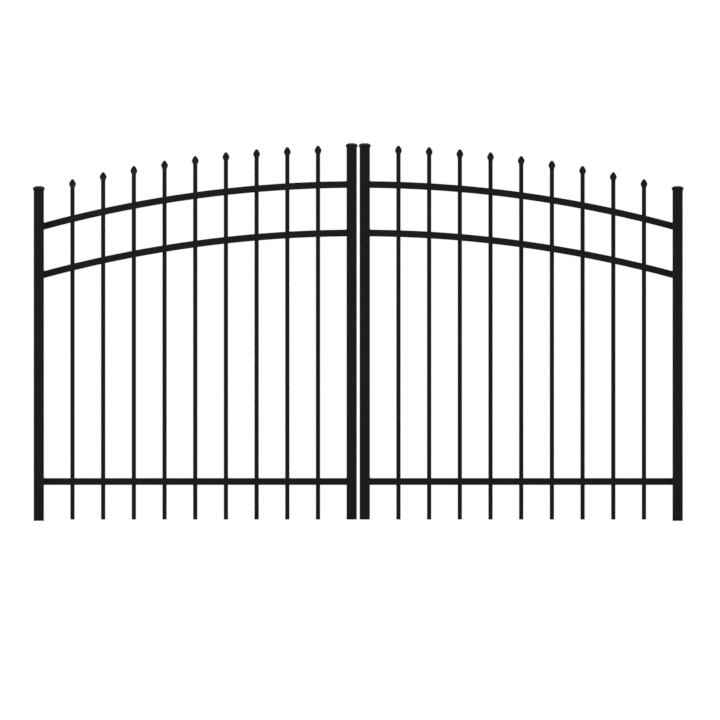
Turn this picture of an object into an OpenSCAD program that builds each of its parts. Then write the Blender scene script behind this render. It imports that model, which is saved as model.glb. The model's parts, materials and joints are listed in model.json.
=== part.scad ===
// Arched double-leaf aluminium fence gate.
// X runs along the gate, Y goes back through it and Z is up.
// The origin is the centre of the left post's foot.
// Each half is drawn outward from the gate's centre line and set on its side by on_side().

/* [Layout] */
// Pickets in each leaf
picket_count = 9; // [4:1:11]
// Width of each leaf over its stiles, in which the pickets are evenly spaced
leaf_width = 1203.325; // [1000:0.025:1300]
// Clear gap between the two meeting stiles
center_gap = 10.7; // [10.7:0.1:40]
// Clear depth between the posts and the leaves hung behind them
post_gap = 36; // [34:0.5:60]
// Height of the leaves' lower ends above the ground
ground_clearance = 5; // [4:0.5:60]

/* [Heights] */
// Height of the posts and of the hinge stiles behind them, over their caps
post_height = 1246.9; // [1230:0.1:1320]
// Height of the meeting stiles over their caps, from the leaf's lower end
meeting_stile_height = 1401.6; // [1330:0.1:1500]
// Upper face of the bottom rail, from the leaf's lower end
bottom_rail_height = 154.2; // [60:0.1:260]
// Upper face of the top rail at the gate's centre, from the leaf's lower end
top_rail_height = 1260.4; // [1200:0.1:1280]
// How far the middle rail lies below the top rail
rail_spacing = 180.4; // [60:0.1:400]
// How far the pickets stand above the top rail
picket_rise = 134.5; // [60:0.1:180]
// Radius of the arch, at the upper faces of its rails
arch_radius = 4510; // [4200:10:9000]

/* [Posts and stiles] */
// Width of the square posts and stiles
upright_width = 38.1; // [32:0.1:50]
// Wall of the posts
post_wall = 3.2; // [1.5:0.1:6]
// Wall of the stiles
stile_wall = 2; // [1.2:0.1:5]
// Radius of the uprights' long edges
edge_radius = 1.5; // [0.5:0.1:3]

/* [Caps] */
// Height of a cap above the end of its upright
cap_height = 19.7; // [17:0.1:24]
// How far a cap's rim stands out past its upright
cap_overhang = 2.8; // [1.5:0.1:2.8]
// Width of the flat on top
cap_flat = 21; // [6:0.5:24]
// Height of the rim's upper edge above the end of the upright
cap_rim_height = 13; // [11:0.1:14]
// Radius of the shoulder above the rim
cap_shoulder_radius = 2.5; // [1:0.1:3]
// Depth of the rim's upright face
cap_rim_face = 6; // [3:0.1:7.5]
// Length of the plug that holds a cap in its upright
cap_plug = 18; // [8:0.5:40]
// Clearance between the plug and the upright's wall
plug_clearance = 0.3; // [0.1:0.05:0.6]
// Wall of a cap and its plug, which are a shell open below
cap_wall = 2.5; // [1.5:0.1:4]

/* [Rails] */
// Depth of the rails, front to back
rail_depth = 25.4; // [22:0.1:32]
// Height of the rails
rail_height = 25.4; // [16:0.1:40]
// Side walls of the rails, which are channels open below
rail_wall = 2; // [1:0.1:2.5]
// Web of the rails, which the pickets pass through
rail_web = 1.6; // [1:0.1:4]
// Clearance between a picket and its punched hole
punch_clearance = 0.3; // [0.1:0.05:0.6]

/* [Pickets] */
// Width of the square pickets
picket_width = 15.875; // [12:0.025:16]
// Wall of the pickets
picket_wall = 1.3; // [0.8:0.1:3]

/* [Spear points] */
// Widest part of a spear point
spear_width = 25.4; // [20:0.1:32]
// Depth of the widest part below the tip
spear_belly_depth = 18.4; // [14:0.1:24]
// Radius of the blunt tip
spear_tip_radius = 7; // [3:0.1:8]
// Radius of the sweep from the picket out to the spear
spear_neck_radius = 18; // [10:0.5:30]
// Thickness of the pressed metal at the tip
spear_tip_thickness = 4.4; // [3:0.1:8]
// Thickness of the pressed metal at the widest part
spear_belly_thickness = 6.4; // [4:0.1:10]

/* [Hinges] */
// Height of the lower hinges' middles above the ground
lower_hinge_height = 230; // [210:1:400]
// Height of the upper hinges' middles above the ground
upper_hinge_height = 1010; // [600:1:1080]
// Height of a hinge's plates
hinge_height = 76; // [50:1:120]
// Height of the leaf's own knuckle
knuckle_height = 26; // [16:1:34]
// Clearance above and below the leaf's knuckle
knuckle_clearance = 0.5; // [0.3:0.1:1]
// Thickness of the plates
plate_thickness = 5; // [3:0.1:6]
// How far the plates stop short of the uprights' side faces
plate_inset = 3; // [2:0.1:5]
// Radius of the plates' corners away from the knuckles
plate_corner_radius = 5; // [1:0.5:10]
// Radius of the knuckles, whose outermost line is flush with the post
barrel_radius = 8; // [7:0.1:9]
// Radius of the hinge pin
pin_radius = 5; // [3:0.1:5.5]
// Clearance between the pin and the leaf's knuckle
pin_clearance = 0.05; // [0.02:0.01:0.1]
// Radius of the pin's heads
pin_head_radius = 7; // [6:0.1:7.5]
// Thickness of the pin's heads
pin_head_height = 3; // [1.5:0.1:5]
// Chamfer round the pin's heads
pin_head_chamfer = 0.8; // [0.3:0.1:1.3]

/* [Hidden] */
$fn = 96;
// Segments of a full circle in the arches, whose radius is large
arch_fn = 256;
// Overrun that keeps a cut clear of the face it opens
cut = 1;

upright_half = upright_width / 2;
picket_half = picket_width / 2;

// The pickets share the leaf's clear width, with equal gaps between them and beside the stiles
rail_length = leaf_width - 2 * upright_width;
picket_gap = (rail_length - picket_count * picket_width) / (picket_count + 1);
picket_pitch = picket_width + picket_gap;

// Places measured outward from the gate's centre line
meeting_stile_x = center_gap / 2 + upright_half;
rail_start_x = meeting_stile_x + upright_half;
rail_end_x = rail_start_x + rail_length;
hinge_stile_x = rail_end_x + upright_half;
first_picket_x = rail_start_x + picket_gap + picket_half;
hinge_axis_x = hinge_stile_x + upright_half - barrel_radius;
// Depths measured back from the middle of the posts
leaf_y = upright_width + post_gap;
hinge_axis_y = leaf_y / 2;
// Heights measured from the ground
leaf_bottom = ground_clearance;
post_top = post_height - cap_height;
meeting_stile_top = leaf_bottom + meeting_stile_height - cap_height;
top_rail_apex = leaf_bottom + top_rail_height;

// Sizes of the spear point that follow from its outline
belly_radius = spear_width / 2;
neck_drop = sqrt(pow(belly_radius + spear_neck_radius, 2) - pow(picket_half + spear_neck_radius, 2));
spear_length = spear_belly_depth + neck_drop;
// Largest turn, in degrees, between the straight steps of an arc in a picket's outlines
arc_turn = 8;

coat = [0.11, 0.11, 0.11];

SIDES = ["left", "right"];
PICKETS = [1 : picket_count];

// Distance from the gate's centre line to picket i, counted from the meeting stile
function picket_x(i) = first_picket_x + (i - 1) * picket_pitch;

// How far an arch has dropped at a distance x from the gate's centre line
function arch_drop(x) = arch_radius - sqrt(arch_radius * arch_radius - x * x);

// Moves a half drawn outward from the centre line to its own side of the gate
module on_side(side) {
    translate([hinge_stile_x, 0, 0])
        mirror([side == "left" ? 1 : 0, 0, 0])
            children();
}

// Square of a given half width with rounded corners
module rounded_square(half, radius) {
    square([2 * half, 2 * (half - radius)], center = true);
    square([2 * (half - radius), 2 * half], center = true);
    for (x = [-1, 1])
        for (y = [-1, 1])
            translate([x * (half - radius), y * (half - radius)])
                circle(radius);
}

// Square block of a given width, from height z0 to height z1
module block(width, z0, z1) {
    translate([-width / 2, -width / 2, z0])
        cube([width, width, z1 - z0]);
}

// Square tube, open at both ends, from height z0 to height z1
module upright(z0, z1, wall) {
    translate([0, 0, z0])
        linear_extrude(z1 - z0)
            difference() {
                rounded_square(upright_half, edge_radius);
                square(upright_width - 2 * wall, center = true);
            }
}

// Outline of a cap from the side, standing on the end of its upright
module cap_outline() {
    rim_half = upright_half + cap_overhang;
    shoulder_x = rim_half - cap_shoulder_radius;
    flat_half = cap_flat / 2;
    // The sloping top leaves the edge of the flat and touches the shoulder
    run = shoulder_x - flat_half;
    drop = cap_height - cap_rim_height;
    slope = atan2(drop, run) - asin(cap_shoulder_radius / norm([run, drop]));
    touch_x = shoulder_x + cap_shoulder_radius * sin(slope);
    touch_y = cap_rim_height + cap_shoulder_radius * cos(slope);
    underside = cap_rim_height - cap_rim_face;
    polygon([
        [-upright_half, 0],
        [upright_half, 0],
        [upright_half, underside],
        [rim_half, underside],
        [rim_half, cap_rim_height],
        [shoulder_x, cap_rim_height],
        [touch_x, touch_y],
        [flat_half, cap_height],
        [-flat_half, cap_height],
        [-touch_x, touch_y],
        [-shoulder_x, cap_rim_height],
        [-rim_half, cap_rim_height],
        [-rim_half, underside],
        [-upright_half, underside]
    ]);
    for (x = [-1, 1]) {
        translate([x * shoulder_x, cap_rim_height])
            circle(cap_shoulder_radius);
        translate([x * upright_half, underside])
            circle(cap_overhang);
    }
}

// Cast cap, the same outline both ways, with a plug for an upright with a given wall
module cap(wall) {
    reach = upright_width + 2 * cap_overhang;
    plug = upright_width - 2 * (wall + plug_clearance);
    difference() {
        union() {
            intersection() {
                rotate([90, 0, 0])
                    linear_extrude(reach, center = true)
                        cap_outline();
                rotate([90, 0, 90])
                    linear_extrude(reach, center = true)
                        cap_outline();
                linear_extrude(cap_height)
                    rounded_square(upright_half + cap_overhang, edge_radius + cap_overhang / 2);
            }
            block(plug, -cap_plug, cut);
        }
        block(plug - 2 * cap_wall, -cap_plug - cut, cap_rim_height - cap_wall);
    }
}

module post() {
    color(coat)
        translate([hinge_stile_x, 0, 0])
            upright(0, post_top, post_wall);
}

module post_cap() {
    color(coat)
        translate([hinge_stile_x, 0, post_top])
            cap(post_wall);
}

module hinge_stile() {
    color(coat)
        translate([hinge_stile_x, leaf_y, 0])
            upright(leaf_bottom, post_top, stile_wall);
}

module hinge_stile_cap() {
    color(coat)
        translate([hinge_stile_x, leaf_y, post_top])
            cap(stile_wall);
}

module meeting_stile() {
    color(coat)
        translate([meeting_stile_x, leaf_y, 0])
            upright(leaf_bottom, meeting_stile_top, stile_wall);
}

module meeting_stile_cap() {
    color(coat)
        translate([meeting_stile_x, leaf_y, meeting_stile_top])
            cap(stile_wall);
}

// Section of a rail, a channel open below, with its upper face at the given height
module rail_section(upper_face) {
    difference() {
        translate([-rail_depth / 2, upper_face - rail_height])
            square([rail_depth, rail_height]);
        translate([rail_wall - rail_depth / 2, upper_face - rail_height - cut])
            square([rail_depth - 2 * rail_wall, rail_height - rail_web + cut]);
    }
}

// The square holes in a rail's web that the pickets pass through, between two heights
module picket_holes(z0, z1) {
    for (i = PICKETS)
        translate([picket_x(i), 0, 0])
            block(picket_width + 2 * punch_clearance, z0, z1);
}

// Arched rail whose upper face crosses the gate's centre line at the given height
module arched_rail(apex) {
    end_angle = asin((rail_end_x + upright_half) / (arch_radius - rail_height));
    end_z = apex - rail_height - arch_drop(rail_end_x + upright_half);
    color(coat)
        translate([0, leaf_y, 0])
            difference() {
                intersection() {
                    translate([0, 0, apex - arch_radius])
                        rotate([90, 0, 0])
                            rotate_extrude(start = 90 - end_angle, angle = end_angle, $fn = arch_fn)
                                rotate(-90)
                                    rail_section(arch_radius);
                    translate([rail_start_x, -rail_depth, end_z])
                        cube([rail_end_x - rail_start_x, 2 * rail_depth, apex - end_z + cut]);
                }
                picket_holes(end_z, apex + cut);
            }
}

module top_rail() {
    arched_rail(top_rail_apex);
}

module middle_rail() {
    arched_rail(top_rail_apex - rail_spacing);
}

module bottom_rail() {
    upper_face = leaf_bottom + bottom_rail_height;
    color(coat)
        translate([0, leaf_y, 0])
            difference() {
                translate([rail_start_x, 0, 0])
                    rotate([90, 0, 90])
                        linear_extrude(rail_end_x - rail_start_x)
                            rail_section(upper_face);
                picket_holes(upper_face - rail_height, upper_face + cut);
            }
}

// Points of an arc about a centre, from angle a0 to angle a1. With a negative radius they lie opposite.
function arc(center, radius, a0, a1) =
    let (steps = ceil(abs(a1 - a0) / arc_turn)) [
        for (step = [0 : steps])
            let (a = a0 + (a1 - a0) * step / steps)
                center + radius * [cos(a), sin(a)]
    ];

// Outline that is the same on both sides of its upright axis, from the points of its right side
module symmetric_outline(right_side) {
    off_axis = [for (point = right_side) if (point.x > 0) point];
    left_side = [for (i = [len(off_axis) - 1 : -1 : 0]) [-off_axis[i].x, off_axis[i].y]];
    polygon(concat(right_side, left_side));
}

// Outline of a picket of a given length from the front, with its tip at the origin
module front_outline(length) {
    // Angle, above the level, at which the straight flank touches the tip's arc and the belly's arc
    flank = asin((belly_radius - spear_tip_radius) / (spear_belly_depth - spear_tip_radius));
    // Angle, below the level, at which the belly's arc runs on into the neck's
    neck = asin(neck_drop / (belly_radius + spear_neck_radius));
    neck_center = [picket_half + spear_neck_radius, -spear_length];
    symmetric_outline(concat(
        arc([0, -spear_tip_radius], spear_tip_radius, 90, flank),
        arc([0, -spear_belly_depth], belly_radius, flank, -neck),
        arc(neck_center, -spear_neck_radius, -neck, 0),
        [[picket_half, -length]]
    ));
}

// Outline of a picket of a given length from the side, where two equal arcs draw the spear point thin
module side_outline(length) {
    belly_half = spear_belly_thickness / 2;
    press_turn = 2 * atan2(picket_half - belly_half, neck_drop);
    press_radius = neck_drop / 2 / sin(press_turn);
    symmetric_outline(concat(
        [[spear_tip_thickness / 2, 0]],
        arc([belly_half + press_radius, -spear_belly_depth], -press_radius, 0, press_turn),
        arc([picket_half - press_radius, -spear_length], press_radius, press_turn, 0),
        [[picket_half, -length]]
    ));
}

// Picket i of a leaf: a square tube whose upper end is pressed into a spear point
module picket(i) {
    tip_z = top_rail_apex + picket_rise - arch_drop(picket_x(i));
    length = tip_z - leaf_bottom;
    reach = spear_width + 2 * cut;
    color(coat)
        translate([picket_x(i), leaf_y, tip_z])
            difference() {
                intersection() {
                    rotate([90, 0, 0])
                        linear_extrude(reach, center = true)
                            front_outline(length);
                    rotate([90, 0, 90])
                        linear_extrude(reach, center = true)
                            side_outline(length);
                }
                block(picket_width - 2 * picket_wall, -length - cut, -spear_length);
            }
}

// Places its children at the middle of each of a leaf's two hinges, on the hinge axis
module at_hinges() {
    for (z = [lower_hinge_height, upper_hinge_height])
        translate([hinge_axis_x, hinge_axis_y, z])
            children();
}

// Hinge plate against the upright behind (side 1) or in front (side -1) of the axis
module hinge_plate(side) {
    knuckle_edge = barrel_radius - plate_inset;
    straight_width = upright_width - 2 * plate_inset - plate_corner_radius;
    straight_height = hinge_height - 2 * plate_corner_radius;
    translate([knuckle_edge - straight_width, side * (post_gap - plate_thickness) / 2, 0])
        rotate([90, 0, 0])
            linear_extrude(plate_thickness, center = true) {
                translate([0, -hinge_height / 2])
                    square([straight_width, hinge_height]);
                translate([-plate_corner_radius, -straight_height / 2])
                    square([straight_width, straight_height]);
                for (z = [-straight_height / 2, straight_height / 2])
                    translate([0, z])
                        circle(plate_corner_radius);
            }
}

// Knuckle of a hinge from z0 to z1, joined to the plate on the given side
module knuckle(side, z0, z1) {
    neck_half = barrel_radius - plate_inset;
    neck_end = side * (post_gap / 2 - plate_thickness);
    translate([0, 0, z0])
        linear_extrude(z1 - z0) {
            circle(barrel_radius);
            translate([-neck_half, min(0, neck_end)])
                square([2 * neck_half, abs(neck_end)]);
        }
}

// Head of a hinge pin, standing on the level of the knuckle's end
module pin_head() {
    straight = pin_head_height - pin_head_chamfer;
    cylinder(straight, r = pin_head_radius);
    translate([0, 0, straight])
        cylinder(pin_head_chamfer, r1 = pin_head_radius, r2 = pin_head_radius - pin_head_chamfer);
}

// The two hinge halves on a post, with their pins
module hinge_brackets() {
    half = hinge_height / 2;
    inner = knuckle_height / 2 + knuckle_clearance;
    color(coat)
        at_hinges() {
            hinge_plate(-1);
            knuckle(-1, -half, -inner);
            knuckle(-1, inner, half);
            cylinder(hinge_height, r = pin_radius, center = true);
            for (end = [0, 1])
                mirror([0, 0, end])
                    translate([0, 0, half])
                        pin_head();
        }
}

// The two hinge halves on a hinge stile, which turn on the post's pins
module hinge_knuckles() {
    half = knuckle_height / 2;
    color(coat)
        at_hinges() {
            hinge_plate(1);
            difference() {
                knuckle(1, -half, half);
                cylinder(knuckle_height + 2 * cut, r = pin_radius + pin_clearance, center = true);
            }
        }
}

for (side = SIDES) {
    on_side(side) post();
    on_side(side) post_cap();
    on_side(side) hinge_brackets();
    on_side(side) hinge_stile();
    on_side(side) hinge_stile_cap();
    on_side(side) hinge_knuckles();
    on_side(side) meeting_stile();
    on_side(side) meeting_stile_cap();
    on_side(side) top_rail();
    on_side(side) middle_rail();
    on_side(side) bottom_rail();
    for (i = PICKETS)
        on_side(side) picket(i);
}
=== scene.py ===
"""Looks of the arched double-leaf aluminium fence gate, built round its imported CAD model.

Lengths are in metres, in the CAD model's frame: X along the gate, Y back through it, Z up.
"""

import json
import math

import bmesh
import bpy
import numpy as np
from mathutils import Matrix, Vector


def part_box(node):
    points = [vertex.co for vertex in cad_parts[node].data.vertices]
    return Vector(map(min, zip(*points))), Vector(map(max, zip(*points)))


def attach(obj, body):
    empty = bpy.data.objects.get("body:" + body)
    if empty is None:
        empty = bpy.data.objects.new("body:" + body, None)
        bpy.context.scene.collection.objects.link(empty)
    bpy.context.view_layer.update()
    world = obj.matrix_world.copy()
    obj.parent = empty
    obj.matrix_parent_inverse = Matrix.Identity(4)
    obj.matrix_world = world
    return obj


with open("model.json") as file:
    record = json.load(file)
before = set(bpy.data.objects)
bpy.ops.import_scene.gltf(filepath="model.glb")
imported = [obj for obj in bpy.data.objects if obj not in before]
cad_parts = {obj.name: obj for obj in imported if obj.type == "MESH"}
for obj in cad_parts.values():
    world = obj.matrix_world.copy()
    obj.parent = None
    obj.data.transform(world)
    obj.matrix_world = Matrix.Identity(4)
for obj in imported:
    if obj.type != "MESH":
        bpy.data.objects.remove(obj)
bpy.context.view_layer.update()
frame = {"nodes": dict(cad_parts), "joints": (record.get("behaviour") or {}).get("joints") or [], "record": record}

MM = 0.001
# Points this close to a plane lie in it
TOLERANCE = 0.1 * MM
ALONG_GATE = Vector((1, 0, 0))
BACKWARDS = Vector((0, 1, 0))
WHITE = (1, 1, 1, 1)

SIDES = ("left", "right")
RAILS = ("top_rail", "middle_rail", "bottom_rail")

# Camera: square-on and level, as an elevation drawing shows the gate
PICTURE_WIDTH = 2.6815
CAMERA_RIGHT_OF_CENTRE = 0.0066
CAMERA_HEIGHT = 0.5991
CAMERA_DISTANCE = 6.0

# Studio: the light that comes from all round, and one large lamp at the front's upper left
SURROUNDING_LIGHT = 0.8
LAMP_FROM_CENTRE = Vector((-2.5, -3.5, 4.0))
LAMP_TARGET_HEIGHT = 0.6
LAMP_SIZE = 2.5
LAMP_POWER = 120

# Floor: how far from the gate's centre it is pale, and from where on it is as white as the background
FLOOR_SIZE = 60
FLOOR_TONE = 0.86
FLOOR_ROUGHNESS = 0.9
PALE_FLOOR_RADIUS = 1.6
WHITE_FLOOR_RADIUS = 3.6

# Coat of each material slot: satin on the tubes, coarser on the cast caps and smoother on the hinges.
# Each has a name, a black, a roughness, a specular level, and its orange peel's scale and height.
COATS = {
    "black_powder_coat": ("powder_coat", 0.0026, 0.36, 0.12, 1100, 0.05 * MM),
    "black_cast_cap": ("cast_coat", 0.0028, 0.42, 0.12, 700, 0.09 * MM),
    "black_hinge": ("hinge_coat", 0.0030, 0.32, 0.15, 1500, 0.03 * MM),
}
# How tone and roughness drift over a piece, and the peel of every coat
DRIFT_SCALE = 7.0
DRIFT_DETAIL = 3.0
DRIFT_LOW = 0.3
DRIFT_HIGH = 0.7
DARKEST_SHARES = (0.85, 0.85, 0.88)
LIGHTEST_SHARES = (1.15, 1.15, 1.15)
ROUGHNESS_DRIFT = 0.05
PEEL_DETAIL = 2.0
PEEL_STRENGTH = 0.6

# Edges of the CAD pieces
PICKET_EDGE_RADIUS = 0.6 * MM
EDGE_RADIUS = 0.4 * MM
EDGE_STEPS = 3
SEAM_WIDTH = 0.01 * MM
FLAT_ANGLE = math.radians(0.5)
SHARP_ANGLE = math.radians(30)

# Fasteners: turned forms, whose lower face lies a little way in the metal
FASTENER_SIDES = 24
FASTENER_DEPTH = 0.2 * MM
SMOOTH_ANGLE = math.radians(35)

# Screw: a button head, with an upright rim, an elliptic dome and a hexagon socket
SCREW_HEAD_RADIUS = 4.2 * MM
SCREW_HEAD_HEIGHT = 2.4 * MM
SCREW_RIM_HEIGHT = 0.6 * MM
SCREW_DOME_RADIUS = 4.452 * MM
SCREW_DOME_HEIGHT = 2.448 * MM
SCREW_DOME_ANGLES = (38, 56, 74)
SOCKET_EDGE_RADIUS = 1.9 * MM
SOCKET_RADIUS = 1.5 * MM
SOCKET_FLOOR_HEIGHT = 1.08 * MM

# Bolt: a hexagon head on a washer; what each chamfer takes off the radius and off the height
BOLT_HEAD_RADIUS = 6.0 * MM
BOLT_HEAD_HEIGHT = 4.0 * MM
BOLT_HEAD_CHAMFER = (0.84 * MM, 0.6 * MM)
WASHER_RADIUS = 7.0 * MM
WASHER_THICKNESS = 1.2 * MM
WASHER_CHAMFER = (0.28 * MM, 0.24 * MM)

# Bolts on a hinge plate: how far apart, and how far along it from its far edge to the hinge axis
BOLT_SPACING = 46 * MM
BOLT_SHARE = 0.36
# Points of one plate are closer to each other in height than this, and two plates are further apart
PLATE_SPLIT = 0.2

# Welds: the fillet's legs, how deep its root and its toes lie in the metal, and the ripples
WELD_LEG = 2.4 * MM
WELD_ROOT = 1 * MM
WELD_BED = 0.1 * MM
WELD_RIPPLE = 0.14 * MM
WELD_PITCH = 1.8 * MM
# How far a ripple's middle lags behind its ends, as a share of the pitch
WELD_LAG = 0.5
# The face's form: 1 is flat and 2 is round
WELD_BULGE = 1.5
# Share of its full section that a bead starts and ends with
WELD_END_SHARE = 0.1
# Radius of a bead's turn round an edge
WELD_TURN = 1.2 * MM
# Steps along each ripple, over the face and round each turn
WELD_STEPS = 6
WELD_FACE_STEPS = 8
WELD_TURN_STEPS = 6


def set_up_scene():
    scene = bpy.context.scene
    scene.unit_settings.system = "METRIC"
    scene.view_settings.view_transform = "Standard"


# ---------------------------------------------------------------- materials


def coat_material(name, black, roughness, specular, peel_scale, peel_height):
    """Satin black powder coat: a fine orange peel, and a slow drift of tone and sheen over each piece."""
    material = bpy.data.materials.new(name)
    material.use_nodes = True
    nodes, links = material.node_tree.nodes, material.node_tree.links
    shader = nodes["Principled BSDF"]
    shader.inputs["Specular IOR Level"].default_value = specular
    place = nodes.new("ShaderNodeTexCoord")

    drift = nodes.new("ShaderNodeTexNoise")
    drift.inputs["Scale"].default_value = DRIFT_SCALE
    drift.inputs["Detail"].default_value = DRIFT_DETAIL
    links.new(place.outputs["Object"], drift.inputs["Vector"])

    tone = nodes.new("ShaderNodeValToRGB")
    darkest, lightest = tone.color_ramp.elements
    darkest.position = DRIFT_LOW
    darkest.color = [black * share for share in DARKEST_SHARES] + [1]
    lightest.position = DRIFT_HIGH
    lightest.color = [black * share for share in LIGHTEST_SHARES] + [1]
    links.new(drift.outputs["Fac"], tone.inputs["Fac"])
    links.new(tone.outputs["Color"], shader.inputs["Base Color"])

    sheen = nodes.new("ShaderNodeMapRange")
    sheen.inputs["From Min"].default_value = DRIFT_LOW
    sheen.inputs["From Max"].default_value = DRIFT_HIGH
    sheen.inputs["To Min"].default_value = roughness - ROUGHNESS_DRIFT
    sheen.inputs["To Max"].default_value = roughness + ROUGHNESS_DRIFT
    links.new(drift.outputs["Fac"], sheen.inputs["Value"])
    links.new(sheen.outputs["Result"], shader.inputs["Roughness"])

    peel = nodes.new("ShaderNodeTexNoise")
    peel.inputs["Scale"].default_value = peel_scale
    peel.inputs["Detail"].default_value = PEEL_DETAIL
    links.new(place.outputs["Object"], peel.inputs["Vector"])
    relief = nodes.new("ShaderNodeBump")
    relief.inputs["Strength"].default_value = PEEL_STRENGTH
    relief.inputs["Distance"].default_value = peel_height
    links.new(peel.outputs["Fac"], relief.inputs["Height"])
    links.new(relief.outputs["Normal"], shader.inputs["Normal"])
    return material


# ---------------------------------------------------------------- CAD nodes


def soften(node, radius, keeps_ridges):
    """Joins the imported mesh's seams and flat faces, and rounds its sharp edges by a small radius.

    The shading hides the steps between the facets of a curve, unless the piece keeps its ridges.
    """
    weld = node.modifiers.new("weld", "WELD")
    weld.merge_threshold = SEAM_WIDTH
    flat = node.modifiers.new("flat", "DECIMATE")
    flat.decimate_type = "DISSOLVE"
    flat.angle_limit = FLAT_ANGLE
    bevel = node.modifiers.new("bevel", "BEVEL")
    bevel.width = radius
    bevel.segments = EDGE_STEPS
    bevel.limit_method = "ANGLE"
    bevel.angle_limit = SHARP_ANGLE
    bevel.use_clamp_overlap = False
    bevel.harden_normals = keeps_ridges
    if not keeps_ridges:
        node.modifiers.new("shading", "WEIGHTED_NORMAL")


def dress_nodes(materials):
    slots = {s["node"]: s["material_slot"] for s in frame["record"]["subparts"]}
    for name, node in frame["nodes"].items():
        node.data.materials.clear()
        node.data.materials.append(materials[slots[name]])
        soften(node, PICKET_EDGE_RADIUS if "picket" in name else EDGE_RADIUS, keeps_ridges="cap" in name)


def corners_of(node):
    return [vertex.co for vertex in frame["nodes"][node].data.vertices]


# ---------------------------------------------------------------- small pieces


def new_piece(name, mesh_maker, body, material):
    mesh = bpy.data.meshes.new(name)
    shape = bmesh.new()
    mesh_maker(shape)
    bmesh.ops.recalc_face_normals(shape, faces=shape.faces)
    shape.to_mesh(mesh)
    shape.free()
    mesh.materials.append(material)
    for face in mesh.polygons:
        face.use_smooth = True
    mesh.set_sharp_from_angle(angle=SMOOTH_ANGLE)
    piece = bpy.data.objects.new(name, mesh)
    bpy.context.scene.collection.objects.link(piece)
    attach(piece, body)


def add_skin(shape, rings):
    """Closed skin over rings of points, which all have as many points."""
    loops = [[shape.verts.new(point) for point in ring] for ring in rings]
    for low, high in zip(loops, loops[1:]):
        for i in range(len(low)):
            j = (i + 1) % len(low)
            shape.faces.new((low[i], low[j], high[j], high[i]))
    shape.faces.new(list(reversed(loops[0])))
    shape.faces.new(loops[-1])


def hexagon(angle):
    """Reach of a regular hexagon at an angle, where its corners reach 1."""
    sector = math.radians(60)
    return math.cos(sector / 2) / math.cos(angle % sector - sector / 2)


def add_turned_form(shape, place, profile):
    """Form round the place's Z. The profile lists (radius, height, is_hexagon) from its lower face on."""
    rings = []
    for radius, height, is_hexagon in profile:
        ring = []
        for step in range(FASTENER_SIDES):
            angle = 2 * math.pi * step / FASTENER_SIDES
            reach = radius * (hexagon(angle) if is_hexagon else 1)
            ring.append(place @ Vector((reach * math.cos(angle), reach * math.sin(angle), height)))
        rings.append(ring)
    add_skin(shape, rings)


def add_screw(shape, place):
    """Head of a screw that stands along the place's Z."""
    rim = [(SCREW_HEAD_RADIUS, height, False) for height in (-FASTENER_DEPTH, SCREW_RIM_HEIGHT)]
    dome = []
    for angle in map(math.radians, SCREW_DOME_ANGLES):
        dome.append((SCREW_DOME_RADIUS * math.cos(angle), SCREW_DOME_HEIGHT * math.sin(angle), False))
    socket = [
        (SOCKET_EDGE_RADIUS, SCREW_HEAD_HEIGHT, False),
        (SOCKET_RADIUS, SCREW_HEAD_HEIGHT, True),
        (SOCKET_RADIUS, SOCKET_FLOOR_HEIGHT, True),
    ]
    add_turned_form(shape, place, rim + dome + socket)


def add_bolt(shape, place):
    """Head of a bolt that stands along the place's Z, on its washer."""
    top = WASHER_THICKNESS + BOLT_HEAD_HEIGHT
    washer = [
        (WASHER_RADIUS, -FASTENER_DEPTH, False),
        (WASHER_RADIUS, WASHER_THICKNESS - WASHER_CHAMFER[1], False),
        (WASHER_RADIUS - WASHER_CHAMFER[0], WASHER_THICKNESS, False),
    ]
    head = [
        (BOLT_HEAD_RADIUS, WASHER_THICKNESS, True),
        (BOLT_HEAD_RADIUS, top - BOLT_HEAD_CHAMFER[1], True),
        (BOLT_HEAD_RADIUS - BOLT_HEAD_CHAMFER[0], top, False),
    ]
    add_turned_form(shape, place, washer + head)


def facing(point, direction):
    """A place at a point whose Z looks in a direction."""
    return Matrix.Translation(point) @ direction.to_track_quat("Z", "Y").to_matrix().to_4x4()


# ---------------------------------------------------------------- rails


def end_heights(node, x):
    """Lowest and highest point of a CAD node's end face at x."""
    heights = [point.z for point in corners_of(node) if abs(point.x - x) < TOLERANCE]
    return min(heights), max(heights)


class Rail:
    """Where a leaf's rail runs, read from its CAD node. An arch is centred on the gate's centre line."""

    def __init__(self, side, kind, gate_centre):
        self.side = side
        self.name = f"{side}_{kind}"
        self.gate_centre = gate_centre
        self.low, self.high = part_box(self.name)
        self.ends = sorted((self.low.x, self.high.x), key=lambda x: abs(x - gate_centre))
        (_, inner_top), (_, outer_top) = (end_heights(self.name, x) for x in self.ends)
        inner, outer = (x - gate_centre for x in self.ends)
        rise = inner_top - outer_top
        self.flat_top = inner_top
        self.arched = rise > TOLERANCE
        if self.arched:
            self.centre_z = (inner**2 - outer**2 + inner_top**2 - outer_top**2) / (2 * rise)
            self.radius = math.hypot(inner, inner_top - self.centre_z)

    def top(self, x):
        """Height of the rail's upper face at x."""
        if not self.arched:
            return self.flat_top
        return self.centre_z + math.sqrt(self.radius**2 - (x - self.gate_centre) ** 2)


def screw_rail(rail, picket_count, rail_height, material):
    """Screws halfway up the rail's back, into each picket, as one mesh a rail."""

    def make(shape):
        for i in range(1, picket_count + 1):
            low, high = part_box(f"{rail.side}_picket_{i}")
            x = (low.x + high.x) / 2
            point = Vector((x, rail.high.y, rail.top(x) - rail_height / 2))
            add_screw(shape, facing(point, BACKWARDS))

    new_piece(f"{rail.name}_screws", make, f"{rail.side}_leaf", material)


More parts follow.
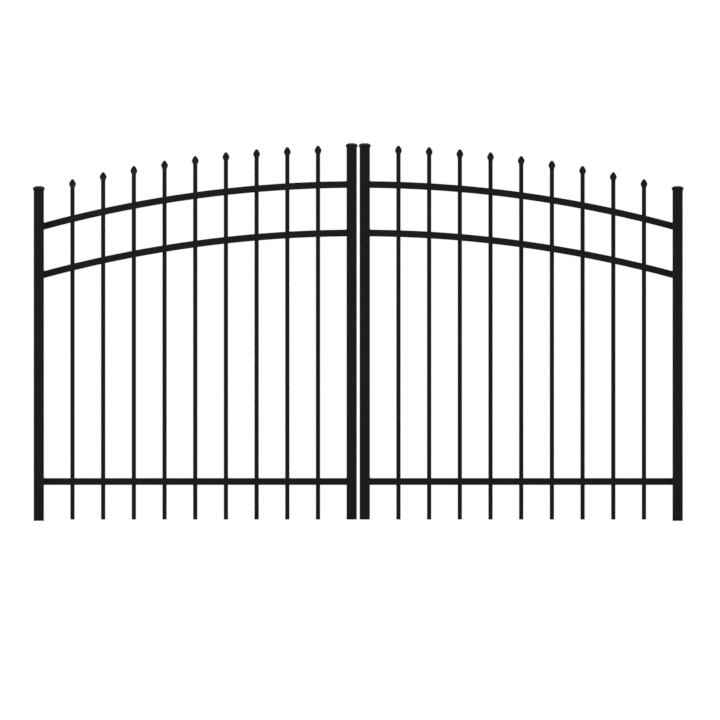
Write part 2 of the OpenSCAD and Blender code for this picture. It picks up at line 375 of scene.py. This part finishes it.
def rounded_path(corners, radius):
    """Points of straight runs whose right-angled turns are arcs of a given radius."""
    points = [corners[0]]
    for before, corner, after in zip(corners, corners[1:], corners[2:]):
        back = (before - corner).normalized() * radius
        onward = (after - corner).normalized() * radius
        centre = corner + back + onward
        for step in range(WELD_TURN_STEPS + 1):
            turn = math.pi / 2 * step / WELD_TURN_STEPS
            points.append(centre - onward * math.cos(turn) - back * math.sin(turn))
    return np.array(points + [corners[-1]])


def weld_section(share, ripples):
    """Section of a fillet weld, as (reach along the rail, reach out from its face).

    The ripples passed so far set its height. Each ripple is a crescent, which lags on the face's middle.
    """
    section = []
    for step in range(WELD_FACE_STEPS + 1):
        angle = math.pi / 2 * step / WELD_FACE_STEPS
        along, out, middle = math.cos(angle), math.sin(angle), math.sin(2 * angle)
        reach = WELD_LEG / (along**WELD_BULGE + out**WELD_BULGE) ** (1 / WELD_BULGE)
        reach += WELD_RIPPLE * middle * abs(math.sin(math.pi * (ripples - WELD_LAG * middle)))
        section.append((share * reach * along - WELD_BED, share * reach * out - WELD_BED))
    root = -share * WELD_ROOT - WELD_BED
    return section + [(root, root)]


def add_weld(shape, corners, inward):
    """A rippled fillet weld with round ends, along a path up a front, over a top and down a back.

    Inward is the way along X from the welded joint to the rail.
    """
    path = rounded_path(corners, WELD_TURN)
    lengths = np.append(0, np.cumsum(np.linalg.norm(np.diff(path, axis=0), axis=1)))
    total = lengths[-1]
    stations = np.linspace(0, total, round(total / WELD_PITCH) * WELD_STEPS + 1)
    points = np.column_stack([np.interp(stations, lengths, axis) for axis in path.T])
    directions = np.gradient(points, axis=0)
    rings = []
    for step, (station, point, direction) in enumerate(zip(stations, points, directions)):
        outward = ALONG_GATE.cross(Vector(direction).normalized())
        share = math.sqrt(min(1, WELD_END_SHARE + min(station, total - station) / WELD_LEG))
        section = weld_section(share, step / WELD_STEPS)
        rings.append([Vector(point) + inward * along + outward * out for along, out in section])
    add_skin(shape, rings)


def weld_rail(rail, material):
    """Welds up the front, over the top and down the back of both ends of a rail, as one mesh."""

    def make(shape):
        front, back = rail.low.y, rail.high.y
        middle = (rail.low.x + rail.high.x) / 2
        for x in rail.ends:
            low, high = end_heights(rail.name, x)
            corners = [
                Vector((x, front, low)),
                Vector((x, front, high)),
                Vector((x, back, high)),
                Vector((x, back, low)),
            ]
            add_weld(shape, corners, ALONG_GATE * math.copysign(1, middle - x))

    new_piece(f"{rail.name}_welds", make, f"{rail.side}_leaf", material)


def finish_rails(side, gate_centre, materials):
    picket_count = sum(1 for name in frame["nodes"] if name.startswith(f"{side}_picket_"))
    low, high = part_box(f"{side}_bottom_rail")
    for kind in RAILS:
        rail = Rail(side, kind, gate_centre)
        screw_rail(rail, picket_count, high.z - low.z, materials["black_hinge"])
        weld_rail(rail, materials["black_powder_coat"])


# ---------------------------------------------------------------- hinges


def hinge_axis_x(side):
    joint = next(j for j in frame["joints"] if j["name"] == f"{side}_leaf_swing")
    return joint["pos_m"][0]


def plates_on(node, face_y):
    """Each hinge plate of a CAD node that lies flat on a face: its box in X and Z, and its inner side's Y."""
    points = corners_of(node)
    on_face = sorted((p.z, p.x) for p in points if abs(p.y - face_y) < TOLERANCE)
    plates = [[on_face[0]]]
    for below, above in zip(on_face, on_face[1:]):
        if above[0] - below[0] > PLATE_SPLIT:
            plates.append([])
        plates[-1].append(above)
    levels = [p.y for p in points if abs(p.y - face_y) > TOLERANCE]
    inner_y = min(levels, key=lambda y: abs(y - face_y))
    for plate in plates:
        heights, places = zip(*plate)
        yield min(places), max(places), min(heights), max(heights), inner_y


def bolt_plates(side, kind, upright, body, material):
    """Two hexagon bolts through every hinge plate of a node, into the upright that it lies on."""
    low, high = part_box(f"{side}_{upright}")
    hinge_low, hinge_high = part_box(f"{side}_{kind}")
    hinge_y = (hinge_low.y + hinge_high.y) / 2
    face_y = high.y if hinge_y > (low.y + high.y) / 2 else low.y
    axis_x = hinge_axis_x(side)

    def make(shape):
        for x0, x1, z0, z1, inner_y in plates_on(f"{side}_{kind}", face_y):
            outward = BACKWARDS * math.copysign(1, inner_y - face_y)
            far_edge = max((x0, x1), key=lambda x: abs(x - axis_x))
            x = far_edge + (axis_x - far_edge) * BOLT_SHARE
            for z in ((z0 + z1 - BOLT_SPACING) / 2, (z0 + z1 + BOLT_SPACING) / 2):
                add_bolt(shape, facing(Vector((x, inner_y, z)), outward))

    new_piece(f"{side}_{kind}_bolts", make, body, material)


# ---------------------------------------------------------------- studio


def seen_directly(nodes, links):
    """Socket that is 1 for what the camera sees, by itself, by gloss or through glass, and 0 for light."""
    path = nodes.new("ShaderNodeLightPath")
    seen = path.outputs["Is Camera Ray"]
    for ray in ("Is Glossy Ray", "Is Transmission Ray"):
        either = nodes.new("ShaderNodeMath")
        either.operation = "MAXIMUM"
        links.new(seen, either.inputs[0])
        links.new(path.outputs[ray], either.inputs[1])
        seen = either.outputs[0]
    return seen


def add_world():
    """White to the camera, to gloss and through glass, and a plain soft light to everything else."""
    world = bpy.data.worlds.new("studio")
    bpy.context.scene.world = world
    world.use_nodes = True
    nodes, links = world.node_tree.nodes, world.node_tree.links
    nodes.clear()
    output = nodes.new("ShaderNodeOutputWorld")
    light = nodes.new("ShaderNodeBackground")
    light.inputs["Color"].default_value = WHITE
    light.inputs["Strength"].default_value = SURROUNDING_LIGHT
    white = nodes.new("ShaderNodeBackground")
    white.inputs["Color"].default_value = WHITE
    mix = nodes.new("ShaderNodeMixShader")
    links.new(seen_directly(nodes, links), mix.inputs["Fac"])
    links.new(light.outputs[0], mix.inputs[1])
    links.new(white.outputs[0], mix.inputs[2])
    links.new(mix.outputs[0], output.inputs["Surface"])


def floor_material():
    """Pale and matt round the gate, where it keeps the shadows, and white away from it."""
    material = bpy.data.materials.new("pale_floor")
    material.use_nodes = True
    nodes, links = material.node_tree.nodes, material.node_tree.links
    pale = nodes["Principled BSDF"]
    pale.inputs["Base Color"].default_value = (FLOOR_TONE, FLOOR_TONE, FLOOR_TONE, 1)
    pale.inputs["Roughness"].default_value = FLOOR_ROUGHNESS
    pale.inputs["Specular IOR Level"].default_value = 0
    white = nodes.new("ShaderNodeEmission")
    place = nodes.new("ShaderNodeTexCoord")
    distance = nodes.new("ShaderNodeVectorMath")
    distance.operation = "LENGTH"
    links.new(place.outputs["Object"], distance.inputs[0])
    fade = nodes.new("ShaderNodeMapRange")
    fade.interpolation_type = "SMOOTHSTEP"
    fade.inputs["From Min"].default_value = PALE_FLOOR_RADIUS
    fade.inputs["From Max"].default_value = WHITE_FLOOR_RADIUS
    links.new(distance.outputs["Value"], fade.inputs["Value"])
    share = nodes.new("ShaderNodeMath")
    share.operation = "MULTIPLY"
    links.new(fade.outputs["Result"], share.inputs[0])
    links.new(seen_directly(nodes, links), share.inputs[1])
    mix = nodes.new("ShaderNodeMixShader")
    links.new(share.outputs[0], mix.inputs["Fac"])
    links.new(pale.outputs[0], mix.inputs[1])
    links.new(white.outputs[0], mix.inputs[2])
    links.new(mix.outputs[0], nodes["Material Output"].inputs["Surface"])
    return material


def add_floor(gate_centre):
    bpy.ops.mesh.primitive_plane_add(size=FLOOR_SIZE, location=(gate_centre, 0, 0))
    floor = bpy.context.object
    floor.name = "floor"
    floor.data.materials.append(floor_material())


def add_lamp(gate_centre):
    data = bpy.data.lights.new("key", "AREA")
    data.shape = "SQUARE"
    data.size = LAMP_SIZE
    data.energy = LAMP_POWER
    lamp = bpy.data.objects.new("key", data)
    lamp.location = Vector((gate_centre, 0, 0)) + LAMP_FROM_CENTRE
    target = Vector((gate_centre, 0, LAMP_TARGET_HEIGHT))
    lamp.rotation_euler = (target - lamp.location).to_track_quat("-Z", "Y").to_euler()
    bpy.context.scene.collection.objects.link(lamp)


def add_camera(gate_centre):
    data = bpy.data.cameras.new("camera")
    data.type = "ORTHO"
    data.ortho_scale = PICTURE_WIDTH
    camera = bpy.data.objects.new("camera", data)
    camera.location = (gate_centre + CAMERA_RIGHT_OF_CENTRE, -CAMERA_DISTANCE, CAMERA_HEIGHT)
    camera.rotation_euler = (math.radians(90), 0, 0)
    bpy.context.scene.collection.objects.link(camera)
    bpy.context.scene.camera = camera


def gate_centre_x():
    left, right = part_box("left_post"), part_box("right_post")
    return (left[0].x + right[1].x) / 2


set_up_scene()
centre = gate_centre_x()
add_camera(centre)
materials = {slot: coat_material(*coat) for slot, coat in COATS.items()}
dress_nodes(materials)
for side in SIDES:
    finish_rails(side, centre, materials)
    bolt_plates(side, "hinge_brackets", "post", "posts", materials["black_hinge"])
    bolt_plates(side, "hinge_knuckles", "hinge_stile", f"{side}_leaf", materials["black_hinge"])
add_floor(centre)
add_world()
add_lamp(centre)
